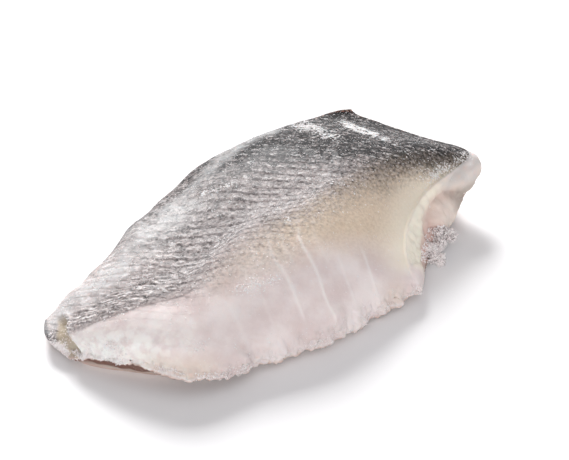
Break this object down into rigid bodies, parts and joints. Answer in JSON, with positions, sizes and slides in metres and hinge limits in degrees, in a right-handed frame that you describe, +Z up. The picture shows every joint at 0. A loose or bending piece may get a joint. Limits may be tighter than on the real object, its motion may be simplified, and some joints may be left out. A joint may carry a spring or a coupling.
{
  "type": "sea bream fillet",
  "caption": "Frozen skin-on sea bream fillet lying skin side up, with a domed scaled skin, a pale belly flap and a slanted, lobed cut at the head end.",
  "frame": {"origin": "middle of the fillet's bounding box, at the table that its flesh side lies on", "axes": "+X along the body from the tail to the head, +Y from the belly to the back, +Z up out of the skin"},
  "size_m": [0.1376, 0.0724, 0.0271],
  "materials": {
    "fillet": "icy wet gloss",
    "frost": "frosted"
  },
  "bodies": {
    "root": {"fillet": "fillet"}
  },
  "joints": []
}
